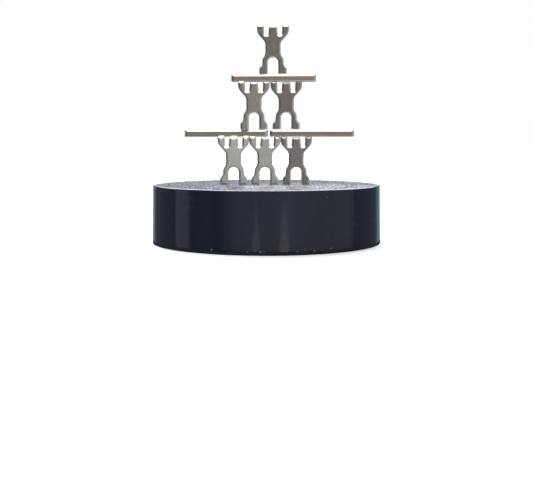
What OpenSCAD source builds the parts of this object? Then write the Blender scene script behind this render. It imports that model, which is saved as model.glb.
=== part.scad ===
// Magnetic desk sculpture: a round moulded base with a ring magnet sealed inside it,
// and a three-tier pyramid of loose steel figures and bars that the magnet holds up.
// Millimetres, +Z up. The origin is the centre of the foot pad's underside.
// The figures face -Y, and the bars lie along X.

/* [Base] */
// Diameter of the base just below its top edge
base_d = 94.6; // [92:0.2:98]
// How much wider the base is at its bottom, for mould draft
base_draft = 0.8; // [0:0.1:1.2]
// Height of the base from the desk to its textured top, with the foot pad
base_h = 24; // [23:0.5:30]
// Radius of the base's rounded top edge
rim_r = 0.3; // [0.2:0.1:1.6]
// Thickness of the side wall
wall_t = 2.6; // [2.4:0.1:3]
// Thickness of the top wall, which the magnet pulls through
top_t = 2; // [1.2:0.1:2.4]

/* [Foot pad] */
// Diameter of the foam foot pad
pad_d = 95.6; // [95:0.2:98]
// Thickness of the foot pad
pad_t = 1.2; // [1:0.1:2]

/* [Magnet] */
// Outer diameter of the ferrite ring and of its backing plate
magnet_d = 70; // [60:1:70]
// Bore of the ferrite ring
magnet_bore = 32; // [20:1:40]
// Thickness of the ferrite ring
magnet_t = 10; // [8:0.5:10]
// Thickness of the steel backing plate
backing_t = 1.5; // [1:0.1:2]

/* [Cover] */
// Thickness of the base cover
cover_t = 1.5; // [1.5:0.1:2]
// Number of screws that hold the cover
screw_count = 3; // [3:1:6]
// Diameter of the circle that the screws stand on
screw_circle_d = 82; // [81:0.5:83]

/* [Figure] */
// Height of a figure, from its feet to its raised hands
fig_h = 19.9; // [19.5:0.1:21]
// Thickness of the sheet that the figures are stamped from
fig_t = 3; // [2:0.1:4]
// Half of the width across the hands
hand_x = 6.6; // [6.3:0.05:6.6]
// Half of the width across the feet
foot_x = 5.7; // [5.2:0.1:6]
// Half of the width of the waist
waist_x = 3.15; // [2.9:0.05:3.3]
// Half of the width of the head at its top
head_x = 1.6; // [1.5:0.05:1.8]
// How far the head stops short of the hands
head_drop = 0.3; // [0.1:0.1:0.6]
// Half of the width of the arch between the legs
arch_x = 2.2; // [2.15:0.05:2.5]
// Height of the arch between the legs
arch_h = 7.1; // [6.7:0.1:7.6]

/* [Bar] */
// Length of a bar
bar_l = 35.4; // [33:0.1:35.6]
// Height of a bar, as it lies
bar_h = 3; // [2.4:0.1:4]
// Depth of a bar, from front to back
bar_depth = 3.6; // [3:0.1:6]
// Radius of a bar's rounded edges
bar_edge_r = 0.9; // [0.3:0.1:1.1]

/* [Stack] */
// How far the stack stands behind the base's centre
stack_y = 3.2; // [0:0.2:12]
// Distance between neighbouring figures of the bottom row
bottom_pitch = 13.25; // [13.25:0.05:13.6]
// Place of the bottom row's middle figure
bottom_x = -0.7; // [-1.5:0.05:0]
// Distance between the two figures of the middle row
middle_pitch = 13.55; // [13.25:0.05:14]
// Middle of the middle row
middle_x = 1.5; // [1:0.05:2]
// Place of the top figure
top_x = 2.7; // [0:0.1:6]
// Place of the joint between the two lower bars
lower_joint_x = 1; // [0.8:0.05:1.5]
// Smallest gap between the ends of the two lower bars
lower_gap = 0.8; // [0.3:0.1:1]
// Middle of the upper bar
upper_x = 3; // [2:0.05:4]
// Turn of the left lower bar about its inner end, so that its outer end lies further back
left_turn = 7; // [0:0.5:8]
// Turn of the right lower bar about its inner end, so that its outer end lies further back
right_turn = 0; // [0:0.5:8]
// Turn of the upper bar about its middle
upper_turn = -3; // [-4:0.5:4]

/* [Hidden] */

$fn = 96;
eps = 0.01;

shell_color = [0.05, 0.055, 0.08];
ferrite_color = [0.18, 0.17, 0.17];
zinc_color = [0.62, 0.63, 0.64];
cover_color = [0.08, 0.08, 0.09];
foam_color = [0.02, 0.02, 0.02];
figure_color = [0.56, 0.54, 0.5];
bar_color = [0.46, 0.44, 0.38];

// Levels of the base, from the desk up
top_under_z = base_h - top_t;
magnet_z = top_under_z - magnet_t;
backing_z = magnet_z - backing_t;
cover_top_z = pad_t + cover_t;

// Shell
base_r = base_d / 2;
foot_r = base_r + base_draft / 2;
shell_inner_r = base_r - wall_t;
rebate_r = shell_inner_r + 1;
collar_gap = 0.3;
collar_t = 1.5;
collar_h = 8;
rim_steps = 8;

// Screws, their bosses and their holes
boss_r = 3.2;
boss_web_t = 2;
boss_web_z = cover_top_z + 1;
// How far a rib runs into the wall that it stands on
rib_root = 0.5;
boss_web_l = shell_inner_r + rib_root - screw_circle_d / 2;
screw_r = 1.25;
screw_l = 10;
screw_tip_l = 1.5;
pilot_r = 1.3;
pilot_depth = 12;
clear_r = 1.45;
head_r = 2.5;
head_play = 0.1;
recess_w = 0.5;
recess_l = 2.6;
recess_depth = 0.7;

// Cover
cover_gap = 0.2;
clamp_ring_r = magnet_d / 2 - 3;
clamp_ring_t = 2;

// Magnet
magnet_chamfer = 0.6;

// Levels of the stack
lower_bar_z = base_h + fig_h;
middle_row_z = lower_bar_z + bar_h;
upper_bar_z = middle_row_z + fig_h;
top_row_z = upper_bar_z + bar_h;

// How far a lower bar's inner end reaches past its middle when the bar is turned
function end_reach(turn) = (bar_depth / 2 - bar_edge_r) * sin(turn) + bar_edge_r * (1 - cos(turn));
left_end_x = lower_joint_x - lower_gap / 2 - end_reach(left_turn);
right_end_x = lower_joint_x + lower_gap / 2 + end_reach(right_turn);

// Number of short edges in each rounded corner of an outline
corner_steps = 6;

// Right half of a figure, from the top of the leg arch round to the head: [x, z, corner radius]
hip_z = 8.35;
shoulder_z = 13.3;
notch_z = 15.8;
figure_half = [
    [arch_x, arch_h, 2],
    [arch_x, 0, 0.3],
    [foot_x, 0, 0.4],
    [foot_x, 2.5, 1.3],
    [4.42, 4.1, 1.6],
    [4.42, 6.1, 2.4],
    [waist_x, hip_z, 3],
    [waist_x + 0.05, shoulder_z, 2.8],
    [hand_x, 17.1, 3.4],
    [hand_x, fig_h, 0.4],
    [3.84, fig_h, 0.4],
    [3.68, notch_z, 0.83],
    [2, notch_z, 0.83],
    [head_x, fig_h - head_drop, 0.4]
];

function unit(v) = v / norm(v);

// Points of an arc of radius r that rounds the corner at b, between its neighbours a and c
function rounded_corner(a, b, c, r) =
    let (
        to_a = unit(a - b),
        to_c = unit(c - b),
        half = acos(to_a * to_c) / 2,
        centre = b + unit(to_a + to_c) * r / sin(half),
        first = b + to_a * r / tan(half) - centre,
        last = b + to_c * r / tan(half) - centre,
        start = atan2(first.y, first.x),
        turn = atan2(last.y, last.x) - start,
        sweep = turn > 180 ? turn - 360 : turn < -180 ? turn + 360 : turn
    )
    [for (i = [0 : corner_steps])
        centre + r * [cos(start + sweep * i / corner_steps), sin(start + sweep * i / corner_steps)]];

// Closed outline through corners of the form [x, z, radius]
function rounded_outline(corners) =
    let (n = len(corners))
    [for (i = [0 : n - 1])
        let (
            before = corners[(i + n - 1) % n],
            here = corners[i],
            after = corners[(i + 1) % n]
        )
        each rounded_corner([before.x, before.y], [here.x, here.y], [after.x, after.y], here.z)];

// A half outline and its mirror image, as one closed loop of corners
function both_halves(half) =
    let (n = len(half))
    concat(half, [for (i = [n - 1 : -1 : 0]) [-half[i].x, half[i].y, half[i].z]]);

// Person with both arms raised, stamped from sheet, standing at x on level z
module figure(x, z) {
    color(figure_color)
        translate([x, stack_y + fig_t / 2, z])
            rotate([90, 0, 0])
                linear_extrude(height = fig_t)
                    polygon(rounded_outline(both_halves(figure_half)));
}

// Rounded rectangle w by h, t thick, centred on the origin
module slab(w, h, t) {
    linear_extrude(height = t, center = true)
        polygon(rounded_outline([
            [-w / 2, -h / 2, bar_edge_r],
            [w / 2, -h / 2, bar_edge_r],
            [w / 2, h / 2, bar_edge_r],
            [-w / 2, h / 2, bar_edge_r]
        ]));
}

// Flat bar that lies on level z, turned about the vertical through x; its middle is off from there.
// Its edges are rounded along all three directions.
module bar(x, z, off, turn) {
    color(bar_color)
        translate([x, stack_y, z + bar_h / 2])
            rotate([0, 0, turn])
                translate([off, 0, 0])
                    intersection() {
                        slab(bar_l, bar_depth, bar_h);
                        rotate([90, 0, 0])
                            slab(bar_l, bar_h, bar_depth);
                        rotate([90, 0, 90])
                            slab(bar_depth, bar_h, bar_l);
                    }
}

// Places its children at each screw
module at_screws() {
    for (i = [0 : screw_count - 1])
        rotate([0, 0, 90 + 360 * i / screw_count])
            translate([screw_circle_d / 2, 0, 0])
                children();
}

// Tube from level z, h high
module ring(outer_r, inner_r, z, h) {
    translate([0, 0, z])
        difference() {
            cylinder(r = outer_r, h = h);
            translate([0, 0, -eps])
                cylinder(r = inner_r, h = h + 2 * eps);
        }
}

// Outer form of the base: a drafted drum with a rounded top edge
module base_drum() {
    rim = [for (i = [0 : rim_steps])
        [base_r - rim_r + rim_r * cos(90 * i / rim_steps), base_h - rim_r + rim_r * sin(90 * i / rim_steps)]];
    rotate_extrude()
        polygon(concat([[0, pad_t], [foot_r, pad_t]], rim, [[0, base_h]]));
}

// Screw boss under the top wall, tied to the side wall by a web
module screw_boss() {
    translate([0, 0, cover_top_z])
        cylinder(r = boss_r, h = top_under_z - cover_top_z + rib_root);
    translate([0, -boss_web_t / 2, boss_web_z])
        cube([boss_web_l, boss_web_t, top_under_z - boss_web_z + rib_root]);
}

module base_shell() {
    color(shell_color)
        difference() {
            union() {
                difference() {
                    base_drum();
                    translate([0, 0, pad_t - eps])
                        cylinder(r = rebate_r, h = cover_t + eps);
                    translate([0, 0, pad_t])
                        cylinder(r = shell_inner_r, h = top_under_z - pad_t);
                }
                at_screws() screw_boss();
                ring(magnet_d / 2 + collar_gap + collar_t, magnet_d / 2 + collar_gap,
                     top_under_z - collar_h, collar_h + rib_root);
            }
            at_screws()
                translate([0, 0, cover_top_z - eps])
                    cylinder(r = pilot_r, h = pilot_depth + eps);
        }
}

// Pressed ring with its outer edges chamfered
module ring_magnet() {
    magnet_r = magnet_d / 2;
    color(ferrite_color)
        translate([0, 0, magnet_z])
            rotate_extrude()
                polygon([
                    [magnet_bore / 2, 0],
                    [magnet_r - magnet_chamfer, 0],
                    [magnet_r, magnet_chamfer],
                    [magnet_r, magnet_t - magnet_chamfer],
                    [magnet_r - magnet_chamfer, magnet_t],
                    [magnet_bore / 2, magnet_t]
                ]);
}

module backing_plate() {
    color(zinc_color)
        translate([0, 0, backing_z])
            cylinder(r = magnet_d / 2, h = backing_t);
}

// Disc that closes the base, with a ring that presses the backing plate and magnet upward
module base_cover() {
    color(cover_color)
        union() {
            difference() {
                translate([0, 0, pad_t])
                    cylinder(r = rebate_r - cover_gap, h = cover_t);
                at_screws() {
                    translate([0, 0, pad_t - eps])
                        cylinder(r = clear_r, h = cover_t + 2 * eps);
                    translate([0, 0, pad_t - eps])
                        cylinder(r1 = head_r + head_play, r2 = screw_r + head_play, h = head_r - screw_r);
                }
            }
            ring(clamp_ring_r, clamp_ring_r - clamp_ring_t, cover_top_z - eps,
                 backing_z - cover_top_z + eps);
        }
}

// Countersunk self-tapping screw, head down, with a cross recess
module cover_screw() {
    translate([0, 0, pad_t])
        difference() {
            union() {
                cylinder(r1 = head_r, r2 = screw_r, h = head_r - screw_r);
                cylinder(r = screw_r, h = screw_l - screw_tip_l);
                translate([0, 0, screw_l - screw_tip_l])
                    cylinder(r1 = screw_r, r2 = screw_r / 4, h = screw_tip_l);
            }
            for (turn = [0, 90])
                rotate([0, 0, turn])
                    translate([-recess_l / 2, -recess_w / 2, -eps])
                        cube([recess_l, recess_w, recess_depth + eps]);
        }
}

module cover_screws() {
    color(zinc_color)
        at_screws() cover_screw();
}

module foot_pad() {
    color(foam_color)
        cylinder(r = pad_d / 2, h = pad_t);
}

module figure_bottom_left() {
    figure(bottom_x - bottom_pitch, base_h);
}

module figure_bottom_middle() {
    figure(bottom_x, base_h);
}

module figure_bottom_right() {
    figure(bottom_x + bottom_pitch, base_h);
}

module figure_middle_left() {
    figure(middle_x - middle_pitch / 2, middle_row_z);
}

module figure_middle_right() {
    figure(middle_x + middle_pitch / 2, middle_row_z);
}

module figure_top() {
    figure(top_x, top_row_z);
}

module bar_lower_left() {
    bar(left_end_x, lower_bar_z, -bar_l / 2, -left_turn);
}

module bar_lower_right() {
    bar(right_end_x, lower_bar_z, bar_l / 2, right_turn);
}

module bar_upper() {
    bar(upper_x, upper_bar_z, 0, upper_turn);
}

base_shell();
ring_magnet();
backing_plate();
base_cover();
cover_screws();
foot_pad();
figure_bottom_left();
figure_bottom_middle();
figure_bottom_right();
figure_middle_left();
figure_middle_right();
figure_top();
bar_lower_left();
bar_lower_right();
bar_upper();
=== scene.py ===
"""Looks of the magnetic desk sculpture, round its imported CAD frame. Metres, +Z up, figures facing -Y."""

import math

import bmesh
import bpy
from mathutils import Matrix, Vector, geometry, noise


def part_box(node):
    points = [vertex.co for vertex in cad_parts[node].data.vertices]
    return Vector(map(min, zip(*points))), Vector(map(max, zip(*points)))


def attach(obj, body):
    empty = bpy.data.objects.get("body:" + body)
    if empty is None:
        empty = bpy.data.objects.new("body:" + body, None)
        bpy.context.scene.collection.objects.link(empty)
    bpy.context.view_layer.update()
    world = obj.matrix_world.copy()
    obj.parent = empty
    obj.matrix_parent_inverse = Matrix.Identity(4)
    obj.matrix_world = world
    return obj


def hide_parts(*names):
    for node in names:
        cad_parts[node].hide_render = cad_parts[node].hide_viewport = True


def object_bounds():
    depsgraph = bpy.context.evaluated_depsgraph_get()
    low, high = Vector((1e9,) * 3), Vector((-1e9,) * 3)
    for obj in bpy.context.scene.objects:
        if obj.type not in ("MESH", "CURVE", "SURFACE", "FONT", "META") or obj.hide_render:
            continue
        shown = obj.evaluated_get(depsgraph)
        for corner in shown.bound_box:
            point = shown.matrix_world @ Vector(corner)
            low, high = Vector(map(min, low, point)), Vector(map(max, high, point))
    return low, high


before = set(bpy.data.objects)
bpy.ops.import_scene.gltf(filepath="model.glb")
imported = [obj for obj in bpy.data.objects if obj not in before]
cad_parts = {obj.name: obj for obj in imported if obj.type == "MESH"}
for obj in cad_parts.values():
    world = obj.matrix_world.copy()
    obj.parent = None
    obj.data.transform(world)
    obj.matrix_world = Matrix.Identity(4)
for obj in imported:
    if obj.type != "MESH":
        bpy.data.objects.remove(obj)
CAD_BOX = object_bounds()

MM = 0.001
TINY = 1e-6

# Base shell: sizes that the frame doesn't say outright
SIDE_LEAN = 0.4 * MM
RIM_R = 0.3 * MM
FOOT_R = 0.25 * MM
LEDGE_W = 1.0 * MM
COVER_GAP = 0.2 * MM
COLLAR_GAP = 0.3 * MM
COLLAR_T = 1.5 * MM
COLLAR_H = 8.0 * MM
BOSS_R = 3.2 * MM
WEB_T = 2.0 * MM
WEB_CLEAR = 1.0 * MM
RIB_ROOT = 0.5 * MM
PILOT_R = 1.3 * MM
PILOT_DEPTH = 12.0 * MM
SCREW_HEAD_R = 2.5 * MM
SCREW_TURNS = (90, 210, 330)
SEGMENTS = 360
SMALL_SEGMENTS = 48
WALL_STEPS = 8
# Smooth lip round the top face, which falls away to the rim
LIP_W = 0.8 * MM
LIP_DROP = 0.11 * MM
LIP_STEPS = 6

# Pebbled top face: spacing of its vertices and their distance from the lip, size and depth of the pebbles,
# how much of the depth is the pebbles' own domes, and the margin over which the grain dies out
PEBBLE_STEP = 0.36 * MM
PEBBLE_CLEAR = 0.6 * PEBBLE_STEP
PEBBLE_SIZE = 1.1 * MM
PEBBLE_HEIGHT = 0.12 * MM
PEBBLE_DOME = 0.6
PEBBLE_EDGE = 0.9 * MM
# The grain stays this far below the level that the figures stand on
GRAIN_BELOW = 0.01 * MM
# Scuffed patch on the top face, paler also as a painted reflection: its middle, and where it begins and ends
# to fade
PATCH_X, PATCH_Y = 12 * MM, -24 * MM
PATCH_FULL, PATCH_END = 26 * MM, 52 * MM
# Radii between which the top face turns paler towards the rim as a painted reflection, and between which its
# edge is paler still as a painted rim highlight
MARGIN_FROM, RIM_HIGHLIGHT_FROM, MARGIN_FULL = 42.5 * MM, 45.2 * MM, 46.8 * MM
# Dust on the base's side thins out between these heights
DUST_LOW, DUST_HIGH = 1.4 * MM, 2.4 * MM

# Foot pad: rounding of its corners, hollow and unevenness of its cut edge with the waves and nicks in a
# metre of it, and where its flat begins
PAD_R = 0.22 * MM
PAD_HOLLOW = 0.05 * MM
PAD_UNEVEN = 0.06 * MM
PAD_WAVES, PAD_NICKS = 160, 900
PAD_FLAT = 3.0 * MM

# Broken edges of the steel pieces: width and depth of an edge that faces up, how much of that an edge
# has by the way it faces (down, sideways, up), and how much larger the bars' edges are
EDGE = 0.75 * MM
EDGE_SUNK = 0.42 * MM
EDGE_SHARES = (0.6, 1.1, 1.0)
BAR_EDGES = 1.2
RIM_SOFT = 0.2 * MM
FACE_SOFT = 0.25 * MM
BAR_CORNER = 0.45 * MM
# Colour of the broken edges and nicks: burnished steel, made paler than the faces as a painted highlight
BURNISHED_AND_HIGHLIGHT = (0.74, 0.725, 0.69)
# Their meshes: steps of an arc, longest side of an outline, and how far past the broken edge the inner
# row of vertices lies
ROUND_STEPS = 4
OUTLINE_STEP = 0.32 * MM
SUPPORT = 0.12 * MM
# A point may move inward for as long as the outline is at least this share of its way behind it
REACH_SHARE = 0.985
REACH_ROUNDS = 8
SMOOTH_BELOW = math.radians(38)
# Grid that keeps vertices apart, how near the innermost row another may come, and the forms made so far,
# as (outline, size, form)
GRID = OUTLINE_STEP / 8
ROW_LIMIT = 0.97
FORMS = []

# Surroundings: colours round the room at eye level, by degrees from the front with the right positive,
# and how much of them is left by height (-1 straight down, 1 straight up)
WARM = (0.96, 1.0, 1.07)
DUSK = (1.02, 1.0, 0.95)
COOL = (0.4, 1.0, 1.0)
ROOM = (
    (-180, 0.15, DUSK), (-158, 0.12, DUSK), (-156, 0.5, WARM), (-153, 0.45, WARM), (-151, 0.12, WARM),
    (-102, 0.13, WARM), (-99, 0.5, WARM), (-83, 0.48, WARM), (-80, 0.14, WARM), (-46, 0.14, WARM),
    (-30, 0.45, WARM), (-17, 0.5, WARM), (-6, 0.55, WARM), (28, 0.6, WARM),
    (60, 0.5, DUSK), (84, 0.5, DUSK), (92, 0.4, DUSK), (96, 0.14, WARM),
    (143, 0.13, WARM), (147, 0.45, COOL), (160, 0.45, COOL), (167, 0.15, DUSK), (180, 0.15, DUSK),
)
HEIGHTS = ((-1.0, 0.7), (-0.3, 0.9), (-0.1, 1.0), (0.4, 1.0), (0.5, 0.45), (0.6, 0.4), (1.0, 0.4))
# Two tapering patches low in the room: (middle and half width in degrees, extra light), the heights of
# their tips and feet, and the softness of their sides in radians
SPIRES = ((-10.0, 3.9, 0.4), (17.0, 5.2, 0.6))
SPIRE_TIP, SPIRE_FOOT = -0.034, -0.085
SPIRE_SOFT = 0.01
# The ceiling, its far end, how the one turns into the other (change over a unit of depth, share in the
# middle), the heights between which it begins, and how much lower it hangs at the back
CEILING = (3.2, 3.2, 3.2)
CEILING_FAR = (2.6, 2.75, 3.15)
FAR_CHANGE, FAR_MIDDLE = 1.5, 0.2
CEILING_FROM, CEILING_FULL = 0.62, 0.72
CEILING_BACK = 0.42
BLACK = (0.0, 0.0, 0.0)
WHITE = (1.0, 1.0, 1.0)
FLOOR_HALF = 3.0
KEY_PLACE = (-0.3, 0.1, 0.8)
KEY_AIM = (0, 0, 0.03)
KEY_SIZE = 0.5
KEY_POWER = 3

# Camera
LENS = 57.85
SENSOR = 36
CAMERA_PLACE = Vector((0.0, -0.3607, 0.042))
CAMERA_DOWN = 6.576


# ---------------------------------------------------------------- node helpers

class Nodes:
    """Short calls for building one node tree. A value is a number, a colour or another node's output."""

    def __init__(self, tree):
        self.tree = tree

    def add(self, kind):
        return self.tree.nodes.new("ShaderNode" + kind)

    def link(self, source, target):
        self.tree.links.new(source, target)

    def feed(self, target, value):
        """Sets a socket to a number or a colour, or links an output to it."""
        if isinstance(value, (int, float)):
            target.default_value = value
        elif isinstance(value, tuple):
            target.default_value = (*value, 1.0)
        else:
            self.link(value, target)

    def math(self, operation, *values):
        node = self.add("Math")
        node.operation = operation
        for socket, value in zip(node.inputs, values):
            self.feed(socket, value)
        return node.outputs["Value"]

    def plus(self, first, second):
        return self.math("ADD", first, second)

    def times(self, first, second):
        return self.math("MULTIPLY", first, second)

    def remap(self, value, low, high, to_low=0.0, to_high=1.0, course="LINEAR"):
        """A value's place between low and high, carried over to another span and kept inside it."""
        node = self.add("MapRange")
        node.interpolation_type = course
        for name, number in (("From Min", low), ("From Max", high), ("To Min", to_low), ("To Max", to_high)):
            node.inputs[name].default_value = number
        self.link(value, node.inputs["Value"])
        return node.outputs["Result"]

    def mix(self, factor, first, second, blend="MIX"):
        """A colour between two others, by factor."""
        node = self.add("Mix")
        node.data_type = "RGBA"
        node.blend_type = blend
        for name, value in (("Factor", factor), ("A", first), ("B", second)):
            self.feed(node.inputs[name], value)
        return node.outputs["Result"]

    def ramp(self, value, table):
        """A colour looked up in (place, level, tint) rows, with places from 0 to 1."""
        node = self.add("ValToRGB")
        stops = node.color_ramp.elements
        stops.remove(stops[-1])
        for number, (position, level, tint) in enumerate(table):
            stop = stops[0] if number == 0 else stops.new(position)
            stop.position = position
            stop.color = [level * c for c in tint] + [1.0]
        self.link(value, node.inputs["Fac"])
        return node.outputs["Color"]

    def split(self, vector):
        """The X, Y and Z outputs of a vector."""
        node = self.add("SeparateXYZ")
        self.link(vector, node.inputs[0])
        return node.outputs


class Shader(Nodes):
    """One material's nodes round a Principled shader, over the object's own coordinates."""

    def __init__(self, name):
        self.material = bpy.data.materials.new(name)
        self.material.use_nodes = True
        super().__init__(self.material.node_tree)
        self.surface = self.tree.nodes["Principled BSDF"]
        self.place = self.add("TexCoord").outputs["Object"]

    def set(self, **values):
        """Sets the shader's own sockets to constants."""
        for name, value in values.items():
            self.surface.inputs[name.replace("_", " ")].default_value = value

    def stretched(self, scale, turn=(0, 0, 0)):
        """The object's coordinates, scaled and turned."""
        node = self.add("Mapping")
        node.inputs["Scale"].default_value = scale
        node.inputs["Rotation"].default_value = [math.radians(t) for t in turn]
        self.link(self.place, node.inputs["Vector"])
        return node.outputs["Vector"]

    def noise(self, scale, detail=3.0, roughness=0.55, where=None):
        node = self.add("TexNoise")
        node.inputs["Scale"].default_value = scale
        node.inputs["Detail"].default_value = detail
        node.inputs["Roughness"].default_value = roughness
        self.link(where or self.place, node.inputs["Vector"])
        return node.outputs["Fac"]

    def cells(self, scale, feature="F1", smooth=None, output="Distance"):
        node = self.add("TexVoronoi")
        node.feature = feature
        node.inputs["Scale"].default_value = scale
        if smooth is not None:
            node.inputs["Smoothness"].default_value = smooth
        self.link(self.place, node.inputs["Vector"])
        return node.outputs[output]

    def specks(self, scale, core, edge, mask):
        """Spots in the middles of cells, full inside core and gone past edge, only where the mask is."""
        return self.times(self.remap(self.cells(scale), core, edge, 1.0, 0.0), mask)

    def distance_from(self, centre):
        """Distance from a place, in the object's coordinates."""
        node = self.add("VectorMath")
        node.operation = "DISTANCE"
        self.link(self.place, node.inputs[0])
        node.inputs[1].default_value = centre
        return node.outputs["Value"]

    def attribute(self, name):
        node = self.add("Attribute")
        node.attribute_name = name
        return node.outputs["Fac"]

    def bump(self, height, distance, strength=1.0, under=None):
        """A normal bumped by height, over another bumped normal if one is given."""
        node = self.add("Bump")
        node.inputs["Strength"].default_value = strength
        node.inputs["Distance"].default_value = distance
        self.link(height, node.inputs["Height"])
        if under is not None:
            self.link(under, node.inputs["Normal"])
        return node.outputs["Normal"]

    def color(self, value):
        self.link(value, self.surface.inputs["Base Color"])

    def rough(self, value):
        self.link(value, self.surface.inputs["Roughness"])

    def normal(self, value):
        self.link(value, self.surface.inputs["Normal"])


# ---------------------------------------------------------------- materials

def gloss_black():
    """Polished black moulding: flow streaks, handling haze, hairline scratches, and dust along the foot."""
    s = Shader("gloss_black")
    s.set(IOR=1.46)
    haze = s.remap(s.noise(55, 5), 0.42, 0.75)
    streaks = s.remap(s.noise(9, 3, where=s.stretched((30, 30, 1.2))), 0.35, 0.7)
    field = s.noise(60, 2, where=s.stretched((1, 1, 14), (20, 35, 0)))
    off_line = s.math("ABSOLUTE", s.math("SUBTRACT", field, 0.5))
    scratches = s.remap(off_line, 0.0, 0.0035, 1.0, 0.0)
    scratches = s.times(scratches, s.remap(s.noise(90, 1), 0.6, 0.64))
    dust = s.specks(420, 0.05, 0.075, s.remap(s.noise(150, 1), 0.6, 0.63))
    lint = s.specks(800, 0.2, 0.3, s.remap(s.noise(120, 2), 0.5, 0.56))
    near_foot = s.remap(s.split(s.place)["Z"], DUST_LOW, DUST_HIGH, 1.0, 0.0)
    dust = s.math("MAXIMUM", dust, s.times(lint, near_foot))
    body = s.mix(streaks, (0.0045, 0.0065, 0.0145), (0.0065, 0.0090, 0.0190))
    marked = s.mix(s.times(scratches, 0.1), body, (0.22, 0.23, 0.25))
    s.color(s.mix(s.times(dust, 0.7), marked, (0.42, 0.42, 0.43)))
    rough = s.plus(s.times(haze, 0.09), 0.055)
    marks = s.math("MAXIMUM", s.times(scratches, 0.3), dust)
    s.rough(s.plus(rough, s.times(marks, 0.4)))
    peel = s.bump(s.noise(260, 2), 0.02 * MM, 0.25)
    s.normal(s.bump(scratches, 0.02 * MM, 0.4, peel))
    return s.material


def pebbled_black():
    """Spark-eroded pebble grain on the top face, each pebble's colour carrying a painted glint of its own
    strength. It is paler in front of the stack, where pieces have been slid about and a painted reflection
    lies, and towards the rim as a painted reflection and rim highlight."""
    s = Shader("pebbled_black")
    s.set(IOR=1.5)
    top_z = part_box("base_shell")[1].z
    out = s.distance_from((0, 0, top_z))
    # Each pebble's colour gets a painted glint of its own strength, which also sets its roughness
    painted_glints = s.remap(s.cells(1500, output="Color"), 0.35, 0.65)
    face = s.mix(painted_glints, (0.006, 0.006, 0.009), (0.125, 0.125, 0.165))
    # Paler patch in front of the stack: scuffs, and a painted reflection
    from_patch = s.plus(s.distance_from((PATCH_X, PATCH_Y, top_z)), s.times(s.noise(110, 4), 20 * MM))
    patch = s.remap(from_patch, PATCH_FULL, PATCH_END, 1.0, 0.0)
    smears = s.remap(s.noise(170, 5, 0.7, s.stretched((0.5, 1, 1))), 0.42, 0.62)
    scuffs_and_reflection = s.times(patch, s.math("MULTIPLY_ADD", smears, 0.75, 0.25))
    scuffs_and_reflection = s.times(scuffs_and_reflection, s.remap(painted_glints, 0.0, 1.0, 0.6, 1.0))
    face = s.mix(scuffs_and_reflection, face, (0.39, 0.395, 0.39))
    # Paler band towards the rim: painted reflection
    margin = s.times(s.remap(out, MARGIN_FROM, MARGIN_FULL), s.remap(s.noise(260, 3), 0.3, 0.6, 0.25, 0.75))
    face = s.mix(margin, face, (0.24, 0.245, 0.27))
    # Paler edge at the rim: painted rim highlight
    edge = s.times(s.remap(out, RIM_HIGHLIGHT_FROM, MARGIN_FULL), s.remap(s.noise(400, 3), 0.35, 0.6, 0.45, 1.0))
    face = s.mix(edge, face, (0.46, 0.465, 0.49))
    dust = s.specks(700, 0.05, 0.09, s.remap(s.noise(140, 1), 0.55, 0.6))
    s.color(s.mix(s.times(dust, 0.8), face, (0.6, 0.6, 0.58)))
    rough = s.plus(s.times(painted_glints, 0.14), 0.15)
    rough = s.plus(rough, s.times(scuffs_and_reflection, 0.15))
    worn = s.remap(s.noise(38, 4), 0.4, 0.7)
    s.rough(s.math("SUBTRACT", rough, s.times(worn, 0.05)))
    s.normal(s.bump(s.noise(4200, 2), 0.03 * MM, 0.6))
    return s.material


def tumbled_nickel(name, light, dark):
    """Satin nickel on stamped steel: peened grain on the flats, burnished edges made paler as a painted
    highlight, hairlines and nicks.
    """
    s = Shader(name)
    s.set(Metallic=1.0)
    flat = s.attribute("flat")
    clouds = s.remap(s.noise(170, 4), 0.35, 0.68)
    grain = s.remap(s.noise(2100, 3, 0.65), 0.3, 0.7)
    fine = s.noise(5200, 2)
    hair_a = s.noise(300, 3, 0.7, s.stretched((1, 1, 9), (0, 25, 0)))
    hair_b = s.noise(300, 3, 0.7, s.stretched((9, 1, 1), (0, -12, 0)))
    hairs = s.remap(s.math("MAXIMUM", hair_a, hair_b), 0.56, 0.72)
    nicks = s.specks(900, 0.06, 0.16, s.remap(s.noise(240, 1), 0.56, 0.6))
    face = s.mix(s.plus(s.times(clouds, 0.3), s.times(grain, 0.7)), dark, light)
    face = s.mix(s.times(nicks, 0.6), face, BURNISHED_AND_HIGHLIGHT)
    # The broken edges take the paler colour: burnishing, and a painted highlight
    s.color(s.mix(s.remap(flat, 0.3, 0.98), BURNISHED_AND_HIGHLIGHT, face))
    rough = s.plus(s.times(grain, 0.16), 0.24)
    rough = s.plus(rough, s.times(hairs, 0.05))
    s.rough(s.plus(rough, s.remap(flat, 0.2, 1.0, -0.1, 0.0)))
    peened = s.bump(s.plus(grain, s.times(fine, 0.5)), 0.014 * MM, 0.7)
    s.normal(s.bump(s.math("SUBTRACT", hairs, nicks), 0.01 * MM, 0.5, peened))
    return s.material


def foam():
    """Closed-cell foam: pores and a skin that scatters no gloss."""
    s = Shader("foam_black")
    s.set(Specular_IOR_Level=0.12)
    pores = s.cells(2600, "SMOOTH_F1", 0.2)
    mottle = s.noise(500, 4)
    s.color(s.mix(s.remap(mottle, 0.35, 0.7), (0.006, 0.008, 0.012), (0.013, 0.016, 0.023)))
    s.rough(s.remap(pores, 0.0, 0.7, 0.95, 0.8))
    s.normal(s.bump(s.plus(pores, s.times(mottle, 0.6)), 0.06 * MM, 0.7))
    return s.material


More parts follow.
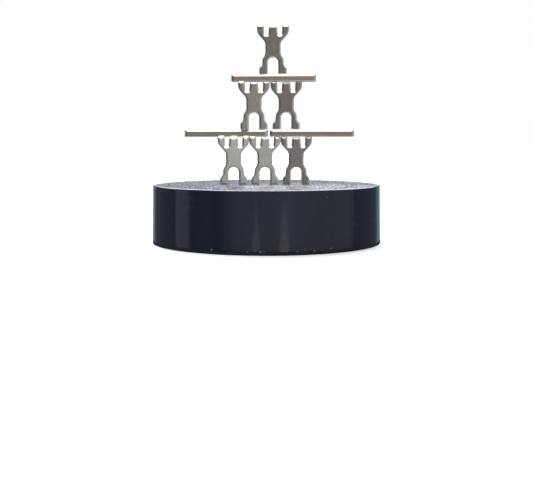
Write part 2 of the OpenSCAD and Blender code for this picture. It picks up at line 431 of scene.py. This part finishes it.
def matt_black():
    """Matt moulding of the cover, with a fine eroded grain."""
    s = Shader("matt_black")
    s.set(IOR=1.46)
    grain = s.noise(2600, 3)
    s.color(s.mix(s.remap(s.noise(60, 4), 0.35, 0.7), (0.014, 0.014, 0.015), (0.022, 0.022, 0.024)))
    s.rough(s.remap(grain, 0.2, 0.8, 0.42, 0.6))
    s.normal(s.bump(grain, 0.03 * MM, 0.5))
    return s.material


def ferrite():
    """Pressed and ground ferrite: dark grey with grinding lines and speckle."""
    s = Shader("ferrite")
    lines = s.noise(420, 3, 0.6, s.stretched((1, 14, 1), (0, 0, 18)))
    tone = s.plus(s.times(lines, 0.5), s.times(s.noise(2400, 3), 0.5))
    s.color(s.mix(s.remap(tone, 0.3, 0.7), (0.035, 0.033, 0.034), (0.085, 0.08, 0.08)))
    s.rough(s.remap(lines, 0.3, 0.7, 0.45, 0.68))
    s.normal(s.bump(tone, 0.03 * MM, 0.6))
    return s.material


def zinc_plate():
    """Bright zinc plate over cold-rolled steel, with rolling lines and a faint blue passivation."""
    s = Shader("zinc_plate")
    s.set(Metallic=1.0)
    rolling = s.noise(240, 4, 0.65, s.stretched((16, 1, 1)))
    clouds = s.noise(90, 3)
    s.color(s.mix(s.remap(clouds, 0.35, 0.68), (0.5, 0.54, 0.6), (0.66, 0.66, 0.62)))
    s.rough(s.remap(rolling, 0.3, 0.7, 0.22, 0.4))
    s.normal(s.bump(rolling, 0.01 * MM, 0.5))
    return s.material


def pale_floor():
    """Plain pale table top with a barely visible tooth."""
    s = Shader("pale_floor")
    s.color(s.mix(s.remap(s.noise(14, 4), 0.35, 0.7), (0.64, 0.64, 0.645), (0.67, 0.67, 0.67)))
    s.rough(s.remap(s.noise(300, 2), 0.3, 0.7, 0.5, 0.6))
    return s.material


# ---------------------------------------------------------------- mesh helpers

def piece_from(bm, name, materials, body, replaced):
    """Makes the object for a finished bmesh with its materials, puts it under its body and hides the CAD
    node that it replaces.
    """
    mesh = bpy.data.meshes.new(name)
    bm.to_mesh(mesh)
    bm.free()
    for material in materials:
        mesh.materials.append(material)
    piece = bpy.data.objects.new(name, mesh)
    bpy.context.scene.collection.objects.link(piece)
    smooth_below(mesh, SMOOTH_BELOW)
    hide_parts(replaced)
    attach(piece, body)
    return piece


def smooth_below(mesh, angle):
    """Shades smoothly, and keeps edges sharp where faces meet at more than that angle."""
    mesh.polygons.foreach_set("use_smooth", [True] * len(mesh.polygons))
    mesh.set_sharp_from_angle(angle=angle)


def lathe(profile, segments):
    """Closed solid of revolution about Z. Its profile runs as (radius, height) from the axis back to it."""
    bm = bmesh.new()
    rings = []
    for r, z in profile:
        if r < TINY:
            rings.append([bm.verts.new((0, 0, z))])
            continue
        angles = [2 * math.pi * i / segments for i in range(segments)]
        rings.append([bm.verts.new((r * math.cos(a), r * math.sin(a), z)) for a in angles])
    for lower, upper in zip(rings, rings[1:]):
        for i in range(segments):
            j = (i + 1) % segments
            corners = [lower[i % len(lower)], lower[j % len(lower)]]
            corners += [upper[j % len(upper)], upper[i % len(upper)]]
            unique = list(dict.fromkeys(corners))
            if len(unique) > 2:
                bm.faces.new(unique)
    bmesh.ops.recalc_face_normals(bm, faces=bm.faces)
    return bm


def arc(centre_r, centre_z, radius, start, end, steps):
    """Points of an arc in a profile, with angles in degrees."""
    angles = [math.radians(start + (end - start) * i / steps) for i in range(steps + 1)]
    return [(centre_r + radius * math.cos(a), centre_z + radius * math.sin(a)) for a in angles]


def triangulated(points, boundary):
    """Triangles over flat points, inside the closed loop that the first points form."""
    edges = [(i, (i + 1) % boundary) for i in range(boundary)]
    made = geometry.delaunay_2d_cdt([Vector(p) for p in points], edges, [], 1, 1e-9)
    if len(made[0]) != len(points):
        raise ValueError("the triangulation added or merged points")
    origin = [kept[0] for kept in made[3]]
    return [[origin[i] for i in face] for face in made[2]]


# ---------------------------------------------------------------- steel pieces

def upright_frame(bm):
    """How an upright plate or bar stands: (its directions along, up and inward from the front, its corner
    that is lowest in all three, its extents along them)."""
    facing = max((f for f in bm.faces if f.normal.y < -0.5), key=lambda f: f.calc_area())
    outward = facing.normal.copy()
    along = Vector((0, 0, 1)).cross(outward).normalized() * -1
    if along.x < 0:
        along.negate()
    axes = (along, Vector((0, 0, 1)), -outward)
    least = [min(v.co.dot(axis) for v in bm.verts) for axis in axes]
    extent = [max(v.co.dot(axis) for v in bm.verts) - low for axis, low in zip(axes, least)]
    corner = sum((axis * low for axis, low in zip(axes, least)), Vector())
    return axes, corner, extent


def merged_copy(node):
    """The CAD node's mesh as a bmesh, with the vertices that the import split joined again."""
    bm = bmesh.new()
    bm.from_mesh(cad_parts[node].data)
    bmesh.ops.remove_doubles(bm, verts=bm.verts, dist=TINY)
    return bm


def front_outline(node):
    """An upright plate as (outline, axes, corner, thickness). The outline runs counter-clockwise, as
    (along, up) from the corner."""
    bm = merged_copy(node)
    axes, corner, extent = upright_frame(bm)
    front = {f for f in bm.faces if f.normal.dot(axes[2]) < -0.9999}
    neighbours = {}
    for e in bm.edges:
        if sum(f in front for f in e.link_faces) == 1:
            a, b = e.verts
            neighbours.setdefault(a, []).append(b)
            neighbours.setdefault(b, []).append(a)
    start = min(neighbours, key=lambda v: (round(v.co.z, 6), v.co.x))
    loop, before, here = [start], None, start
    while True:
        onward = [v for v in neighbours[here] if v is not before][0]
        before, here = here, onward
        if here is start:
            break
        loop.append(here)
    points = [Vector(((v.co - corner).dot(axes[0]), (v.co - corner).dot(axes[1]))) for v in loop]
    bm.free()
    turn = sum(a.x * b.y - b.x * a.y for a, b in zip(points, points[1:] + points[:1]))
    if turn < 0:
        points = points[:1] + points[:0:-1]
    return points, axes, corner, extent[2]


def resampled(points):
    """The same closed outline with its long stretches split into steps."""
    made = []
    for a, b in zip(points, points[1:] + points[:1]):
        parts = max(1, math.ceil((b - a).length / OUTLINE_STEP))
        made += [a.lerp(b, i / parts) for i in range(parts)]
    return made


def edge_section():
    """Section of a broken edge that tumbling has softened: (inset, sunk) pairs from the rim to the face."""
    slope = math.atan2(EDGE_SUNK, EDGE)
    rim_turn = math.pi / 2 - slope
    rim_z = EDGE_SUNK + RIM_SOFT * math.tan(rim_turn / 2)
    face_x = EDGE + FACE_SOFT * math.tan(slope / 2)
    steps = [k / ROUND_STEPS for k in range(ROUND_STEPS + 1)]
    rim = [rim_turn * k for k in steps]
    face = [rim_turn + slope * k for k in steps]
    return [(RIM_SOFT * (1 - math.cos(a)), rim_z - RIM_SOFT * math.sin(a)) for a in rim] + [
        (face_x - FACE_SOFT * math.cos(a), FACE_SOFT * (1 - math.sin(a))) for a in face]


SECTION = edge_section()


def sunk_at(inset):
    """How far the surface lies behind the flat face at an inset from the outline."""
    for (near, deep), (far, shallow) in zip(SECTION, SECTION[1:]):
        if inset <= far:
            return deep + (shallow - deep) * (inset - near) / (far - near)
    return 0.0


def edge_share(up):
    """Size of a broken edge as a share of the full one, by how far up the edge faces (-1 to 1)."""
    down, level, top = EDGE_SHARES
    return level + up * (top - level) if up > 0 else level + up * (level - down)


def sides_of(outline, size):
    """A counter-clockwise outline's sides: (start, way along it, size of its broken edge)."""
    sides = []
    for a, b in zip(outline, outline[1:] + outline[:1]):
        way = b - a
        sides.append((a, way, size * edge_share(-way.x / way.length)))
    return sides


def side_distance(point, start, way):
    """Distance from a point to one side of an outline."""
    share = max(0.0, min(1.0, (point - start).dot(way) / way.length_squared))
    return (point - start - way * share).length


def outline_distance(point, sides):
    """Distance from a point to an outline, given as its sides."""
    return min(side_distance(point, start, way) for start, way, _ in sides)


def broken(point, sides):
    """Where a point lies on the broken edge: (how far behind the flat face, how far across the edge)."""
    full = SECTION[-1][0]
    sunk, across = 0.0, 1.0
    for start, way, share in sides:
        place = side_distance(point, start, way) / share
        if place < full:
            sunk = max(sunk, share * sunk_at(place))
            across = min(across, place / full)
    return sunk, across


def inward_normals(loop):
    """Unit normals that point into a counter-clockwise outline, one for each point."""
    normals = []
    for before, here, after in zip(loop[-1:] + loop[:-1], loop, loop[1:] + loop[:1]):
        tangent = (here - before).normalized() + (after - here).normalized()
        normals.append(Vector((-tangent.y, tangent.x)).normalized())
    return normals


def reach_inward(start, direction, limit, sides):
    """How far a point can move along direction while the outline stays about as far behind it."""
    if outline_distance(start + direction * limit, sides) > REACH_SHARE * limit:
        return limit
    low, high = 0.0, limit
    for _ in range(REACH_ROUNDS):
        middle = (low + high) / 2
        if outline_distance(start + direction * middle, sides) > REACH_SHARE * middle:
            low = middle
        else:
            high = middle
    return low


def grid_place(point):
    """A point's square in a fine grid, which takes one vertex."""
    return round(point.x / GRID), round(point.y / GRID)


def plate_form(outline, size):
    """A plate's face inside an outline, with vertices close together along its broken edge: (points,
    (sunk, across) for each, how many of them are on the outline, triangles)."""
    for known, known_size, form in FORMS:
        if size == known_size and len(known) == len(outline) and all(
                (a - b).length < 10 * TINY for a, b in zip(known, outline)):
            return form
    loop = resampled(outline)
    sides = sides_of(outline, size)
    insets = [inset for inset, _ in SECTION[1:]]
    points = [p.copy() for p in loop]
    taken = {grid_place(p) for p in points}
    for point, normal in zip(loop, inward_normals(loop)):
        share = size * edge_share(-normal.y)
        reach = reach_inward(point, normal, share * insets[-1] + SUPPORT, sides)
        for inset in [share * d for d in insets if share * d < ROW_LIMIT * reach] + [reach]:
            place = point + normal * inset
            if grid_place(place) not in taken:
                taken.add(grid_place(place))
                points.append(place)
    form = (points, [broken(p, sides) for p in points], len(loop), triangulated(points, len(loop)))
    FORMS.append((outline, size, form))
    return form


def tumbled_plate(node, body, material, shape, size):
    """A steel plate with every edge broken, from its shape: (outline, axes, corner, thickness)."""
    outline, (along, up, inward), corner, thickness = shape
    points, places, rim, faces = plate_form(outline, size)
    bm = bmesh.new()
    flat = bm.verts.layers.float.new("flat")
    front, back = [], []
    for row in (front, back):
        for p, (sunk, across) in zip(points, places):
            depth = sunk if row is front else thickness - sunk
            vert = bm.verts.new(corner + along * p.x + up * p.y + inward * depth)
            vert[flat] = across
            row.append(vert)
    for face in faces:
        bm.faces.new([front[i] for i in face])
        bm.faces.new([back[i] for i in reversed(face)])
    for i in range(rim):
        j = (i + 1) % rim
        bm.faces.new([front[i], back[i], back[j], front[j]])
    bmesh.ops.recalc_face_normals(bm, faces=bm.faces)
    piece_from(bm, node + "_tumbled", [material], body, node)


def bar_shape(node):
    """A bar as a plate with rounded corners, as large as the CAD bar: (outline, axes, corner, thickness)."""
    bm = merged_copy(node)
    axes, corner, (width, height, depth) = upright_frame(bm)
    bm.free()
    outline = []
    for quarter, (x, y) in enumerate(((width, height), (0, height), (0, 0), (width, 0))):
        centre = Vector((
            x - BAR_CORNER if x else BAR_CORNER,
            y - BAR_CORNER if y else BAR_CORNER,
        ))
        for k in range(ROUND_STEPS + 1):
            a = math.radians(90 * (quarter + k / ROUND_STEPS))
            outline.append(centre + BAR_CORNER * Vector((math.cos(a), math.sin(a))))
    return outline, axes, corner, depth


# ---------------------------------------------------------------- base

def pebble(x, y, limit):
    """Height of the moulded grain at a place on the top face. It dies out towards the rim."""
    place = Vector((x, y, 0)) / PEBBLE_SIZE
    distances, _ = noise.voronoi(place)
    dome = min(1.0, (distances[1] - distances[0]) / 0.5)
    swell = 0.5 + 0.5 * noise.noise(place * 1.1 + Vector((7, 3, 1)))
    lift = PEBBLE_DOME * dome * (2 - dome) + (1 - PEBBLE_DOME) * swell
    fade = max(0.0, min(1.0, (limit - math.hypot(x, y)) / PEBBLE_EDGE))
    return -PEBBLE_HEIGHT * (1 - lift) * fade


def shell_profile(top, bottom, wide_r, under_z, rebate_r, ledge_z, magnet_r):
    """Section of the base shell from its top centre, round the outside, and back under the top wall."""
    side_r = wide_r - SIDE_LEAN
    inner_r = rebate_r - LEDGE_W
    collar_r = magnet_r + COLLAR_GAP
    lip_r = side_r - RIM_R - LIP_W
    steps = [k / LIP_STEPS for k in range(LIP_STEPS)]
    lip = [(lip_r + LIP_W * k, top - LIP_DROP * k ** 2) for k in steps]
    lip_turn = 90 - math.degrees(math.atan(2 * LIP_DROP / LIP_W))
    rim = lip + arc(side_r - RIM_R, top - LIP_DROP - RIM_R, RIM_R, lip_turn, 0, WALL_STEPS)
    foot = arc(wide_r - FOOT_R, bottom + FOOT_R, FOOT_R, 0, -90, ROUND_STEPS)
    height = rim[-1][1] - foot[0][1]
    down = [i / WALL_STEPS for i in range(1, WALL_STEPS)]
    wall = [(side_r + (wide_r - side_r) * k, rim[-1][1] - height * k) for k in down]
    inside = [
        (rebate_r, bottom),
        (rebate_r, ledge_z),
        (inner_r, ledge_z),
        (inner_r, under_z),
        (collar_r + COLLAR_T, under_z),
        (collar_r + COLLAR_T, under_z - COLLAR_H),
        (collar_r, under_z - COLLAR_H),
        (collar_r, under_z),
        (0, under_z),
    ]
    return [(0, top)] + rim + wall + foot + inside, inner_r


def helper_object(bm, name):
    """An object that stands for one step of a boolean."""
    mesh = bpy.data.meshes.new(name)
    bm.to_mesh(mesh)
    bm.free()
    helper = bpy.data.objects.new(name, mesh)
    bpy.context.scene.collection.objects.link(helper)
    return helper


def tube_solid(radius, low, high):
    """A round solid about Z."""
    return lathe([(0, low), (radius, low), (radius, high), (0, high)], SMALL_SEGMENTS)


def turned(bm, distance, turn):
    """The same bmesh, moved out along X and turned about Z."""
    matrix = Matrix.Rotation(math.radians(turn), 4, "Z") @ Matrix.Translation((distance, 0, 0))
    bmesh.ops.transform(bm, matrix=matrix, verts=bm.verts)
    return bm


def combined(base, helpers):
    """Mesh of an object after exact booleans with (helper, operation) pairs. The helpers are removed."""
    for helper, operation in helpers:
        step = base.modifiers.new("step", "BOOLEAN")
        step.operation = operation
        step.solver = "EXACT"
        step.object = helper
    graph = bpy.context.evaluated_depsgraph_get()
    mesh = bpy.data.meshes.new_from_object(base.evaluated_get(graph))
    for helper in [h for h, _ in helpers] + [base]:
        bpy.data.objects.remove(helper)
    return mesh


def screw_supports(ledge_z, under_z, inner_r, screw_r):
    """A boss for each screw of the cover, with its web to the wall and its pilot hole, as boolean steps."""
    steps = []
    for turn in SCREW_TURNS:
        boss = tube_solid(BOSS_R, ledge_z, under_z + RIB_ROOT)
        steps.append((helper_object(turned(boss, screw_r, turn), "boss"), "UNION"))
        web = bmesh.new()
        bmesh.ops.create_cube(web, size=1)
        length = inner_r + RIB_ROOT - screw_r
        height = under_z + RIB_ROOT - ledge_z - WEB_CLEAR
        shape = Matrix.Diagonal((length, WEB_T, height, 1))
        lift = Matrix.Translation((length / 2, 0, ledge_z + WEB_CLEAR + height / 2))
        bmesh.ops.transform(web, matrix=lift @ shape, verts=web.verts)
        steps.append((helper_object(turned(web, screw_r, turn), "web"), "UNION"))
        pilot = tube_solid(PILOT_R, ledge_z - RIB_ROOT, ledge_z + PILOT_DEPTH)
        steps.append((helper_object(turned(pilot, screw_r, turn), "pilot"), "DIFFERENCE"))
    return steps


def grain_places(limit):
    """Places of the grain's vertices inside a circle, on a triangular grid."""
    row_h = PEBBLE_STEP * math.sqrt(3) / 2
    rows = int(limit / row_h)
    columns = int(limit / PEBBLE_STEP) + 1
    places = []
    for j in range(-rows, rows + 1):
        for i in range(-columns, columns + 1):
            x, y = (i + 0.5 * (j % 2)) * PEBBLE_STEP, j * row_h
            if math.hypot(x, y) < limit - PEBBLE_CLEAR:
                places.append((x, y))
    return places


def grained_top(bm, top_z):
    """Puts the pebbled grain where the shell's flat top is, inside the lip."""
    cap = [f for f in bm.faces if all(v.co.z > top_z - TINY for v in f.verts)]
    bmesh.ops.delete(bm, geom=cap, context="FACES")
    loose = [v for v in bm.verts if not v.link_faces]
    bmesh.ops.delete(bm, geom=loose, context="VERTS")
    ring = sorted((v for v in bm.verts if v.co.z > top_z - TINY), key=lambda v: math.atan2(v.co.y, v.co.x))
    limit = max(math.hypot(v.co.x, v.co.y) for v in ring)
    inside = grain_places(limit)
    verts = ring + [bm.verts.new((x, y, top_z + pebble(x, y, limit))) for x, y in inside]
    for face in triangulated([(v.co.x, v.co.y) for v in ring] + inside, len(ring)):
        bm.faces.new([verts[i] for i in face]).material_index = 1


def base_shell(sides, pebbled):
    """The moulded drum: polished sides, pebbled top, and the collar, bosses and webs inside."""
    low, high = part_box("base_shell")
    top_z = high.z - GRAIN_BELOW
    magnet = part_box("ring_magnet")[1]
    ledge_z = cover_ledge()
    rebate_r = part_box("base_cover")[1].x + COVER_GAP
    profile, inner_r = shell_profile(top_z, low.z, high.x, magnet.z, rebate_r, ledge_z, magnet.x)
    shell = helper_object(lathe(profile, SEGMENTS), "shell")
    screw_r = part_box("cover_screws")[1].y - SCREW_HEAD_R
    mesh = combined(shell, screw_supports(ledge_z, magnet.z, inner_r, screw_r))
    bm = bmesh.new()
    bm.from_mesh(mesh)
    for f in bm.faces:
        if all(v.co.z > top_z - LIP_DROP - TINY for v in f.verts):
            f.material_index = 1
    grained_top(bm, top_z)
    bmesh.ops.recalc_face_normals(bm, faces=bm.faces)
    piece_from(bm, "base_shell_moulding", [sides, pebbled], "base", "base_shell")


def cover_ledge():
    """Level of the ledge that the cover's disc lies against, from the cover's widest vertices."""
    places = [(math.hypot(v.co.x, v.co.y), v.co.z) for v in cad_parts["base_cover"].data.vertices]
    widest = max(r for r, _ in places)
    return max(z for r, z in places if r > widest - 0.1 * MM)


def foot_pad(material):
    """Die-cut foam disc, its edge slightly uneven and its corners soft."""
    low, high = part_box("foot_pad")
    radius = high.x
    profile = [(0, high.z), (radius * 0.5, high.z), (radius - PAD_FLAT, high.z)]
    profile += arc(radius - PAD_R, high.z - PAD_R, PAD_R, 90, 0, ROUND_STEPS)
    profile += [(radius - PAD_HOLLOW, (low.z + high.z) / 2)]
    profile += arc(radius - PAD_R, low.z + PAD_R, PAD_R, 0, -90, ROUND_STEPS)
    profile += [(radius - PAD_FLAT, low.z), (radius * 0.5, low.z), (0, low.z)]
    bm = lathe(profile, SEGMENTS)
    for v in bm.verts:
        out = math.hypot(v.co.x, v.co.y)
        if out > radius - MM:
            wave = noise.noise(Vector((v.co.x, v.co.y, 0)) * PAD_WAVES) + 0.5 * noise.noise(v.co * PAD_NICKS)
            shrink = 1 - PAD_UNEVEN * (1 + wave) / out
            v.co.x *= shrink
            v.co.y *= shrink
    pad = piece_from(bm, "foot_pad_foam", [material], "base", "foot_pad")


def dress_hidden(node, material):
    """Gives a carried-over CAD node its finish."""
    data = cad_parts[node].data
    data.materials.clear()
    data.materials.append(material)
    for polygon in data.polygons:
        polygon.material_index = 0


# ---------------------------------------------------------------- stage

def studio_floor():
    """Pale table top. The world is as bright behind it."""
    floor_z = CAD_BOX[0].z
    bm = bmesh.new()
    bmesh.ops.create_grid(bm, x_segments=8, y_segments=8, size=FLOOR_HALF)
    bmesh.ops.translate(bm, verts=bm.verts, vec=(0, 0, floor_z))
    mesh = bpy.data.meshes.new("studio_floor")
    bm.to_mesh(mesh)
    bm.free()
    mesh.materials.append(pale_floor())
    floor = bpy.data.objects.new("studio_floor", mesh)
    bpy.context.scene.collection.objects.link(floor)
    floor.visible_glossy = False


def soft_light(name, place, aim, size, power):
    """Square area light at a place, turned towards another."""
    light = bpy.data.lights.new(name, "AREA")
    light.size = size
    light.energy = power
    holder = bpy.data.objects.new(name, light)
    holder.location = place
    holder.rotation_euler = (Vector(aim) - Vector(place)).to_track_quat("-Z", "Y").to_euler()
    holder.visible_camera = False
    bpy.context.scene.collection.objects.link(holder)


def spire(nodes, turn, spread, middle, half, extra):
    """Extra light of one tapering patch, which widens from its tip down to its foot."""
    off = nodes.math("ABSOLUTE", nodes.math("SUBTRACT", turn, math.radians(middle)))
    inside = nodes.math("SUBTRACT", nodes.times(spread, math.radians(half)), off)
    inside = nodes.math("MAXIMUM", nodes.math("MINIMUM", inside, SPIRE_SOFT), 0.0)
    return nodes.mix(nodes.times(inside, extra / SPIRE_SOFT), BLACK, WHITE)


def studio_world():
    """Surroundings: a bright ceiling, and at eye level a dim room with a few paler patches. The camera
    itself sees white behind the object."""
    world = bpy.data.worlds.new("studio")
    bpy.context.scene.world = world
    world.use_nodes = True
    n = Nodes(world.node_tree)
    x, y, z = n.split(n.add("TexCoord").outputs["Generated"])
    turn = n.math("ARCTAN2", x, n.times(y, -1.0))
    share = n.math("MULTIPLY_ADD", turn, 0.5 / math.pi, 0.5)
    round_room = n.ramp(share, [(0.5 + degrees / 360, level, tint) for degrees, level, tint in ROOM])
    height = n.math("MULTIPLY_ADD", z, 0.5, 0.5)
    by_height = n.ramp(height, [(0.5 + place / 2, level, WHITE) for place, level in HEIGHTS])
    room = n.mix(1.0, round_room, by_height, "MULTIPLY")
    spread = n.times(n.math("SUBTRACT", z, SPIRE_TIP), 1 / (SPIRE_FOOT - SPIRE_TIP))
    spread = n.math("MINIMUM", spread, 1.0)
    for middle, half, extra in SPIRES:
        room = n.mix(1.0, room, spire(n, turn, spread, middle, half, extra), "ADD")
    rise = n.math("MULTIPLY_ADD", n.math("MAXIMUM", y, 0.0), CEILING_BACK, z)
    rise = n.remap(rise, CEILING_FROM, CEILING_FULL, course="SMOOTHSTEP")
    ceiling = n.mix(n.math("MULTIPLY_ADD", y, FAR_CHANGE, FAR_MIDDLE), CEILING, CEILING_FAR)
    sky = n.mix(rise, room, ceiling)
    is_camera = n.add("LightPath").outputs["Is Camera Ray"]
    n.link(n.mix(is_camera, sky, WHITE), n.tree.nodes["Background"].inputs["Color"])


def camera():
    """About level with the lower bars, looking slightly down on the base."""
    data = bpy.data.cameras.new("camera")
    data.lens = LENS
    data.sensor_width = SENSOR
    data.clip_start = 10 * MM
    holder = bpy.data.objects.new("camera", data)
    holder.location = CAMERA_PLACE
    holder.rotation_euler = (math.radians(90 - CAMERA_DOWN), 0, 0)
    bpy.context.scene.collection.objects.link(holder)
    bpy.context.scene.camera = holder


# ---------------------------------------------------------------- build

camera()
studio_floor()
studio_world()
soft_light("key", KEY_PLACE, KEY_AIM, KEY_SIZE, KEY_POWER)

base_shell(gloss_black(), pebbled_black())
foot_pad(foam())
dress_hidden("base_cover", matt_black())
dress_hidden("ring_magnet", ferrite())
zinc = zinc_plate()
dress_hidden("backing_plate", zinc)
dress_hidden("cover_screws", zinc)

# Each figure's satin tone differs as painted light, lighter and darker copies of one nickel by how brightly
# each figure catches the light, and so does how far its edges are broken:
# node -> (body, light tone, dark tone, size of its edges)
FIGURES = {
    "figure_bottom_left": ("bottom_left", (0.75, 0.71, 0.61), (0.59, 0.56, 0.48), 1.0),
    "figure_bottom_middle": ("bottom_middle", (0.65, 0.62, 0.53), (0.51, 0.48, 0.41), 1.0),
    "figure_bottom_right": ("bottom_right", (0.37, 0.32, 0.28), (0.25, 0.22, 0.20), 1.0),
    "figure_middle_left": ("middle_left", (0.47, 0.42, 0.34), (0.35, 0.31, 0.25), 1.0),
    "figure_middle_right": ("middle_right", (0.35, 0.28, 0.24), (0.24, 0.20, 0.18), 1.0),
    "figure_top": ("top", (0.34, 0.29, 0.24), (0.24, 0.22, 0.18), 0.75),
}
for node, (body, light, dark, edge_size) in FIGURES.items():
    nickel = tumbled_nickel("nickel_" + body, light, dark)
    tumbled_plate(node, body, nickel, front_outline(node), edge_size)

# Each bar's tone differs as painted light too: lighter and darker copies of one steel, by how brightly each
# bar catches the light
BARS = {
    "bar_lower_left": ("lower_left_bar", (0.43, 0.37, 0.27), (0.325, 0.28, 0.2)),
    "bar_lower_right": ("lower_right_bar", (0.405, 0.325, 0.26), (0.3, 0.24, 0.2)),
    "bar_upper": ("upper_bar", (0.46, 0.36, 0.26), (0.35, 0.275, 0.2)),
}
for node, (body, light, dark) in BARS.items():
    steel = tumbled_nickel("steel_" + body, light, dark)
    tumbled_plate(node, body, steel, bar_shape(node), BAR_EDGES)

bpy.context.scene.view_settings.view_transform = "Standard"
